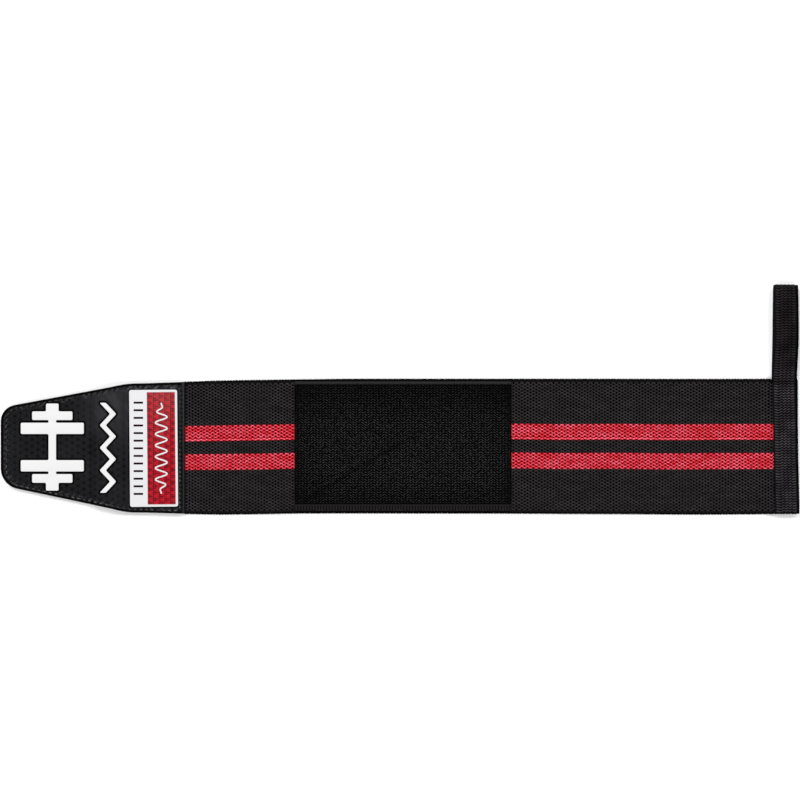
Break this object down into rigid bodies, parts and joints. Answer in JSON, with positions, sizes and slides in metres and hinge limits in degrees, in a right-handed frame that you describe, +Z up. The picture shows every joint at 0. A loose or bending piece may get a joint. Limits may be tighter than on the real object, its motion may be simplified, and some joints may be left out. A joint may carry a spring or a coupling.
{
  "type": "wrist wrap",
  "caption": "Elastic wrist wrap lying open: striped webbing strap, tapered hook tab with a label, loop fastener patch and a thumb loop.",
  "frame": {"origin": "on the underside of the strap, in the middle of the length and of the strap's width", "axes": "+X along the strap from the tapered tab to the thumb loop, +Y across it to the side where the loop stands out, +Z up from the surface it lies on"},
  "size_m": [0.457, 0.1315, 0.0088],
  "materials": {
    "webbing": "woven elastic, matte, with two red stripes",
    "hook_tape": "moulded hooks",
    "embossed_leather": "embossed, half gloss",
    "white_rubber": "smooth, satin",
    "red_rubber": "smooth with a fine pattern",
    "white_print": "smooth, satin",
    "loop_pile": "brushed loop pile, matte",
    "elastic_tape": "ribbed elastic tape"
  },
  "bodies": {
    "root": {"strap": "webbing", "hook_panel": "hook_tape", "tab_facing": "embossed_leather", "label_plate": "white_rubber", "label_field": "red_rubber", "emblem": "white_print", "emblem_zigzag": "white_print", "loop_patch": "loop_pile", "thumb_loop": "elastic_tape"}
  },
  "joints": []
}
